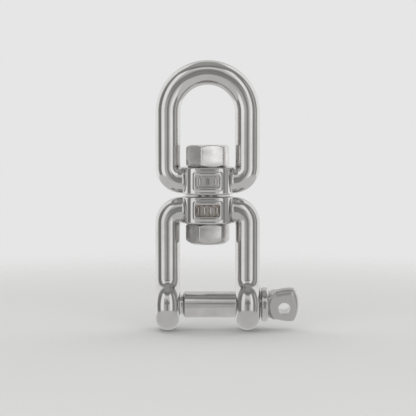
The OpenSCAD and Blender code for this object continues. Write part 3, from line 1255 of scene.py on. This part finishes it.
@dataclass(frozen=True)
class ScrewPin:
    """The screw pin, from its threaded end over shaft, collar and neck to its flattened grip."""

    axis_z: float = -107.8
    turn: float = math.radians(14.0)
    start: float = -25.35
    thread_end: float = -13.25
    shaft_from: float = -11.95
    shaft: float = 6.5
    tip_chamfer: float = 0.9
    runout: float = 1.2
    undercut: float = 4.85
    collar_from: float = 26.25
    collar_to: float = 29.55
    collar: float = 8.5
    collar_round: float = 0.9
    neck: float = 6.8
    grip_half: float = 8.5
    grip_thick: float = 3.2
    widest: float = 40.5
    side_arc: float = 21.0
    tip: float = 44.75
    end_arc: float = 17.0
    plan_corner: float = 0.9
    flank_between: tuple[float, float] = (30.2, 32.6)
    pocket_at: float = 40.8
    pocket: float = 10.0
    climb: float = 1.9
    foot: float = 0.35
    edge: float = 3.0
    neck_edge: float = 1.6
    hole: float = 2.9
    hole_x: float = 37.6
    hole_drop: float = 1.0
    hole_round: float = 0.35
    pivot: float = 38.0
    core_half: float = 5.0
    columns: int = 200
    crowd: float = 0.25
    ray: float = 14.0
    crease: float = 42.0
    thread: Thread = Thread(crest=5.9, root=4.95)
    node: str = "screw_pin"

    def distance(self, x: np.ndarray, y: np.ndarray, z: np.ndarray) -> np.ndarray:
        """Distance field of neck and grip, before the pin's turn, with z counted from the pin's axis.

        In plan the grip lies between two side arcs and an end arc, and it takes over from the round
        neck over flank_between. Two faces cut it to its thickness inside a round pocket.
        Outside the pocket, towards the collar, they climb at climb times the distance, with a hollow
        foot. The edges round off more and more along the grip.

        Args:
            x: places along the pin, in mm.
            y: places from front to back, in mm.
            z: heights from the pin's axis, in mm.

        Returns:
            The distances in mm, negative inside.
        """
        far = self.side_arc - self.grip_half
        sides = np.hypot(x - self.widest, np.abs(z) + far) - self.side_arc
        waist = np.hypot(y, z) - self.neck
        blend = smooth_step(x, *self.flank_between)
        end = np.hypot(x - (self.tip - self.end_arc), z) - self.end_arc
        plan = smooth_cut(waist * (1.0 - blend) + sides * blend, end, self.plan_corner)
        out = np.maximum(np.hypot(x - self.pocket_at, z) - self.pocket, 0.0) * (x < self.pocket_at)
        faces = np.abs(y) - self.grip_thick - self.climb * (np.hypot(out, self.foot) - self.foot)
        edge = self.neck_edge + (self.edge - self.neck_edge) * smooth_step(x, 31.5, 35.0)
        return smooth_cut(plan, faces, edge)

    def turned_rows(self, around: np.ndarray) -> np.ndarray:
        """Rows of the threaded end, undercut, shaft and collar, as (rows, columns, 2).

        The thread takes the pin's turn into its angle, so that it stays in step with the tapped ear.

        Args:
            around: (columns,) angles about the pin's axis, in radians.

        Returns:
            Place along the pin and radius, in mm.
        """
        count = len(around)
        x = np.linspace(self.start, self.thread_end, 104)
        grid_x, grid_t = np.meshgrid(x, around, indexing="ij")
        cap = self.thread.crest - self.tip_chamfer + (grid_x - self.start)
        fade = smooth_step(grid_x, self.thread_end - self.runout, self.thread_end)
        r = self.thread.radius(grid_x, grid_t + self.turn) * (1.0 - fade) + self.undercut * fade
        screw = np.stack([grid_x, np.minimum(r, cap)], axis=-1)
        turn = np.linspace(0.0, math.pi / 2.0, 6)
        soft = self.collar_round
        inset = soft * (1.0 - np.sin(turn))
        round_r = self.collar - soft * (1.0 - np.cos(turn))
        collar = np.concatenate([np.stack([self.collar_from + inset, round_r], axis=-1)[::-1],
                                 np.stack([self.collar_to - inset, round_r], axis=-1)])
        groove = self.undercut
        plain = [
            (self.shaft_from - 0.25, groove), (self.shaft_from - 0.05, groove + 0.1),
            (self.shaft_from, groove + 0.25), (self.shaft_from, groove + 0.7),
            (self.shaft_from + 0.08, groove + 0.9), (self.shaft_from + 0.75, self.shaft - 0.08),
            (self.shaft_from + 0.95, self.shaft), (self.collar_from - 0.35, self.shaft),
            (self.collar_from - 0.08, self.shaft + 0.07), (self.collar_from, self.shaft + 0.35),
            (self.collar_from, self.collar - soft - 0.3),
        ]
        after = [(self.collar_to, self.collar - soft - 0.25), (self.collar_to, self.neck + 0.3),
                 (self.collar_to + 0.07, self.neck + 0.08)]
        return np.concatenate([rings([(self.start, 0.4), (self.start, 3.0)], count), screw,
                               rings(plain, count), rings(collar.tolist(), count), rings(after, count)])

    def grip_points(self, around: np.ndarray) -> np.ndarray:
        """Rows of the neck and grip, cast outwards across X, then fanned round to the grip's tip.

        Each ray starts core times the sine of its angle off the axis, along the grip's width. The core
        is 0 in the round neck, grows to core_half in the flat grip and shrinks again with the fan.

        Args:
            around: (columns,) angles about the pin's axis, in radians.

        Returns:
            (rows, columns, 3) points, in mm.
        """
        x = steps([(self.collar_to + 0.3, 1), (34.0, 44), (self.pivot, 16)])
        lean = np.concatenate([np.linspace(0.0, 1.0, 64)[1:-1] ** 0.9, [0.995]]) * math.pi / 2.0
        core = np.concatenate([self.core_half * smooth_step(x, 30.4, 33.5), self.core_half * np.cos(lean)])
        lean = np.concatenate([np.zeros_like(x), lean])
        across = np.stack([np.zeros_like(around), np.cos(around), np.sin(around)], axis=-1)
        way = (across[None] * np.cos(lean)[:, None, None]
               + np.array([1.0, 0.0, 0.0]) * np.sin(lean)[:, None, None])
        start = np.zeros_like(way)
        start[..., 0] = np.concatenate([x, np.full(len(lean) - len(x), self.pivot)])[:, None]
        start[..., 2] = core[:, None] * np.sin(around)
        grid = cast(self.distance, start, way, np.full(len(lean), self.ray))
        return grid + np.array([0.0, 0.0, self.axis_z])

    def hole_cutter(self) -> Piece:
        """A plug for the wire hole, flared by a quarter round at both faces of the grip.

        Returns:
            The plug, to be used up by carve.
        """
        turn = np.linspace(0.0, math.pi / 2.0, 8)
        flare_r = self.hole + self.hole_round * (1.0 - np.sin(turn))
        flare_y = self.grip_thick - self.hole_round * (1.0 - np.cos(turn))
        half = np.concatenate([[[self.grip_thick + 1.0, self.hole + self.hole_round]],
                               np.stack([flare_y, flare_r], axis=-1)])
        rows = np.concatenate([half, (half * np.array([-1.0, 1.0]))[::-1]])
        around = np.linspace(0.0, FULL_TURN, 72, endpoint=False)
        along = np.repeat(rows[:, None, 0], len(around), axis=1)
        radius = rows[:, None, 1]
        up = self.axis_z - self.hole_drop + radius * np.sin(around)
        grid = np.stack([self.hole_x + radius * np.cos(around), along, up], axis=-1)
        return solid_from_grid("hole_cutter", tilt_about_x(grid, self.turn, self.axis_z))

    def build(self, finish: Material) -> Piece:
        """Joins the turned rows to the cast ones in one closed mesh, drills it, dresses it, hangs it on its
        body and hides the CAD part it stands in for.

        Args:
            finish: the material.

        Returns:
            The piece.
        """
        even = np.linspace(0.0, FULL_TURN, self.columns, endpoint=False)
        around = even + self.crowd * np.sin(2.0 * even) / 2.0
        grid = turned(self.turned_rows(around), around, Axis.X, (0.0, self.axis_z))
        grid = np.concatenate([grid, self.grip_points(around)])
        grid = tilt_about_x(grid, self.turn, self.axis_z)
        forged = smooth_step(grid[..., 0], self.collar_to - 0.2, self.collar_to + 1.2)
        piece = solid_from_grid("screw_pin_turned", grid, marks={"forged": forged})
        carve(piece, [self.hole_cutter()])
        shade(piece, self.crease)
        piece.data.materials.append(finish)
        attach(piece, "pin")
        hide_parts(self.node)
        return piece


# ---------------------------------------------------------------------------------------- the studio
@dataclass(frozen=True)
class SoftBox:
    """A soft-edged bright or dark panel of the studio's surround, by direction from the object.

    Azimuth is 0 towards -Y, where the camera stands, and positive towards +X. Angles are in degrees.
    """

    azimuth: tuple[float, float]
    elevation: tuple[float, float]
    level: float
    soft: float = 5.0
    both_sides: bool = False


@dataclass(frozen=True)
class Studio:
    """Plain pale floor, soft panels all round, and one wide overhead light for the floor."""

    floor_z: float = -120.5
    floor_colour: str = "#DDDDDB"
    floor_radius: float = 420.0
    floor_thins: tuple[float, float] = (170.0, 420.0)
    lamp_side: float = 1100.0
    lamp_place: tuple[float, float, float] = (0.0, -120.0, 750.0)
    lamp_watts: float = 3.3
    camera_level: float = 0.79
    fill: float = 0.30
    lens: float = 103.0
    distance: float = 584.0
    target: tuple[float, float, float] = (0.15, 0.0, -60.2)
    elevation: float = 3.6
    panels: tuple[SoftBox, ...] = (
        SoftBox((-185.0, 185.0), (66.0, 95.0), 0.40, 5.0),
        SoftBox((-36.0, 34.0), (50.0, 62.0), 0.24, 4.0),
        SoftBox((-34.0, 32.0), (29.0, 47.0), 0.78, 4.0),
        SoftBox((-62.0, -30.0), (-22.0, 50.0), 1.10, 4.0),
        SoftBox((-30.0, -9.0), (-22.0, 34.0), 0.55, 4.0),
        SoftBox((10.0, 26.0), (-22.0, 44.0), 0.74, 4.0),
        SoftBox((24.0, 47.0), (-22.0, 50.0), 1.12, 4.0),
        SoftBox((-24.0, 22.0), (8.0, 20.0), 0.27, 4.0),
        SoftBox((-8.0, 8.0), (-22.0, 5.0), 0.30, 3.0),
        SoftBox((70.0, 83.0), (-22.0, 40.0), 0.60, 4.0),
        SoftBox((-66.0, -90.0), (-22.0, 30.0), 0.24, 3.0),
        SoftBox((98.0, 185.0), (-22.0, 66.0), 0.74, 6.0, True),
        SoftBox((104.0, 152.0), (-22.0, 66.0), 1.05, 5.0, True),
        SoftBox((-185.0, 185.0), (-95.0, -21.0), 0.67, 3.0),
    )

    def window(self, tree: Tree, value: Socket, edges: tuple[float, float], soft: float) -> Socket:
        """1 between two edges and 0 outside them, with a smooth step of twice soft over each.

        Args:
            tree: the node tree.
            value: the angle, in degrees.
            edges: the low and the high edge, in degrees.
            soft: half the width of each step, in degrees.

        Returns:
            The window's socket.
        """
        low, high = min(edges), max(edges)
        up = add_node(tree, "MapRange", {"Value": value, "From Min": low - soft, "From Max": low + soft},
                      interpolation_type="SMOOTHSTEP").outputs["Result"]
        down = add_node(tree, "MapRange", {"Value": value, "From Min": high - soft, "From Max": high + soft,
                                           "To Min": 1.0, "To Max": 0.0},
                        interpolation_type="SMOOTHSTEP").outputs["Result"]
        return add_node(tree, "Math", {0: up, 1: down}, operation="MULTIPLY").outputs[0]

    def light_surround(self) -> None:
        """Sets the world: the fill, then each panel laid over it, and an even pale level to the camera."""
        world = bpy.data.worlds.new("studio_surround")
        bpy.context.scene.world = world
        world.use_nodes = True
        tree = world.node_tree
        tree.nodes.clear()
        way = add_node(tree, "SeparateXYZ", {0: add_node(tree, "TexCoord").outputs["Generated"]}).outputs
        back = add_node(tree, "Math", {0: way["Y"], 1: -1.0}, operation="MULTIPLY").outputs[0]
        round_angle = add_node(tree, "Math", {0: way["X"], 1: back}, operation="ARCTAN2").outputs[0]
        azimuth = add_node(tree, "Math", {0: round_angle}, operation="DEGREES").outputs[0]
        either = add_node(tree, "Math", {0: azimuth}, operation="ABSOLUTE").outputs[0]
        rise = add_node(tree, "Math", {0: way["Z"]}, operation="ARCSINE").outputs[0]
        elevation = add_node(tree, "Math", {0: rise}, operation="DEGREES").outputs[0]
        level: Socket | float = self.fill
        for panel in self.panels:
            side = self.window(tree, either if panel.both_sides else azimuth, panel.azimuth, panel.soft)
            tall = self.window(tree, elevation, panel.elevation, panel.soft)
            mask = add_node(tree, "Math", {0: side, 1: tall}, operation="MULTIPLY").outputs[0]
            level = add_node(tree, "Mix", {"Factor": mask, 2: level, 3: panel.level}).outputs[0]
        seen = add_node(tree, "LightPath").outputs["Is Camera Ray"]
        shown = add_node(tree, "Mix", {"Factor": seen, 2: level, 3: self.camera_level}).outputs[0]
        glow = add_node(tree, "Background", {"Color": (1.0, 1.0, 1.0, 1.0), "Strength": shown})
        out = tree.nodes.new("ShaderNodeOutputWorld")
        tree.links.new(glow.outputs[0], out.inputs["Surface"])

    def lay_floor(self) -> None:
        """A pale disc under the object, whose rim thins away into the surround.

        Its points are a polar grid, and the thinning is a smooth step of the distance from its middle.
        Mirror-like metal sees the surround's own lower panel in its place.
        """
        radius = np.linspace(0.001, self.floor_radius, 40)
        around = np.linspace(0.0, FULL_TURN, 96, endpoint=False)
        shape = (len(radius), len(around))
        flat = np.stack([radius[:, None] * np.cos(around), radius[:, None] * np.sin(around),
                         np.full(shape, self.floor_z)], axis=-1).reshape(-1, 3) * MM
        mesh = bpy.data.meshes.new("pale_floor")
        mesh.from_pydata(flat.tolist(), [], grid_faces(*shape, False).tolist())
        mesh.update()
        floor = bpy.data.objects.new("pale_floor", mesh)
        bpy.context.scene.collection.objects.link(floor)
        material, tree, shader = blank_material("matt_paper_floor")
        shader.inputs["Base Color"].default_value = linear(self.floor_colour)
        shader.inputs["Roughness"].default_value = 0.9
        shader.inputs["Specular IOR Level"].default_value = 0.1
        place = add_node(tree, "TexCoord").outputs["Object"]
        reach = add_node(tree, "VectorMath", {0: place}, operation="LENGTH").outputs["Value"]
        begin, end = (edge * MM for edge in self.floor_thins)
        thin = add_node(tree, "MapRange", {"Value": reach, "From Min": begin, "From Max": end},
                        interpolation_type="SMOOTHSTEP").outputs["Result"]
        clear = add_node(tree, "BsdfTransparent").outputs[0]
        mixed = add_node(tree, "MixShader", {0: thin, 1: shader.outputs[0], 2: clear}).outputs[0]
        tree.links.new(mixed, tree.nodes["Material Output"].inputs["Surface"])
        mesh.materials.append(material)
        floor.visible_glossy = False

    def hang_light(self) -> None:
        """A wide overhead panel that lights the floor, kept out of reflections by its ray settings."""
        light = bpy.data.lights.new("overhead_panel", "AREA")
        light.shape, light.size, light.size_y = "RECTANGLE", self.lamp_side * MM, self.lamp_side * MM
        light.energy = self.lamp_watts
        lamp = bpy.data.objects.new("overhead_panel", light)
        bpy.context.scene.collection.objects.link(lamp)
        lamp.location = Vector(self.lamp_place) * MM
        lamp.rotation_euler = (Vector((0.0, 0.0, self.floor_z * MM)) - lamp.location).to_track_quat(
            "-Z", "Y").to_euler()
        lamp.visible_camera = lamp.visible_glossy = False

    def set_camera(self) -> None:
        """Puts the camera in front of the object, a little above its middle, looking along +Y."""
        camera = bpy.data.cameras.new("camera")
        camera.lens, camera.sensor_width = self.lens, 36.0
        camera.clip_start, camera.clip_end = 0.01, 20.0
        eye = bpy.data.objects.new("camera", camera)
        bpy.context.scene.collection.objects.link(eye)
        rise = math.radians(self.elevation)
        target = Vector(self.target) * MM
        back = Vector((0.0, -math.cos(rise), math.sin(rise)))
        eye.location = target + back * self.distance * MM
        eye.rotation_euler = (-back).to_track_quat("-Z", "Y").to_euler()
        bpy.context.scene.camera = eye

    def build(self) -> None:
        """Sets up surround, floor, light and camera, with plain display colours."""
        bpy.context.scene.view_settings.view_transform = "Standard"
        self.light_surround()
        self.lay_floor()
        self.hang_light()
        self.set_camera()


def main() -> None:
    """Loads the frame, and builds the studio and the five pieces."""
    logging.basicConfig(level=logging.INFO, format="%(message)s")
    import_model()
    Studio().build()
    eye = PolishedCasting().build("polished_cast_stainless")
    # The jaw's copy of the cast finish: the same steel with a darker base colour, which is painted shade over
    # the whole jaw, and a little less gloss.
    shaded_cast_copy = PolishedCasting(colour="#CFCECD", worn_colour="#C1C0BE", gloss=(0.10, 0.17))
    jaw = shaded_cast_copy.build("cast_stainless_painted_shade")
    bolt = FormedHexagon().build("satin_formed_stainless")
    # The nut's copy of the satin finish has a much brighter base colour than the bolt's: painted light on the
    # nut's faces.
    nut = FormedHexagon(colour="#EEEDEC", worn_colour="#DEDDDC").build("satin_formed_stainless_painted_light")
    pin = TurnedAndForgedPin().build("turned_and_forged_stainless")
    for maker, finish in ((EyeCasting(), eye), (JawCasting(), jaw), (SwivelBolt(), bolt),
                          (SwivelNut(), nut), (ScrewPin(), pin)):
        piece = maker.build(finish)
        piece.data.calc_loop_triangles()
        low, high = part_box(maker.node)
        low_mm, high_mm = ([round(v / MM, 1) for v in corner] for corner in (low, high))
        LOG.info("%s: %d triangles, over the CAD box %s to %s mm", piece.name,
                 len(piece.data.loop_triangles), low_mm, high_mm)


if __name__ == "__main__":
    main()
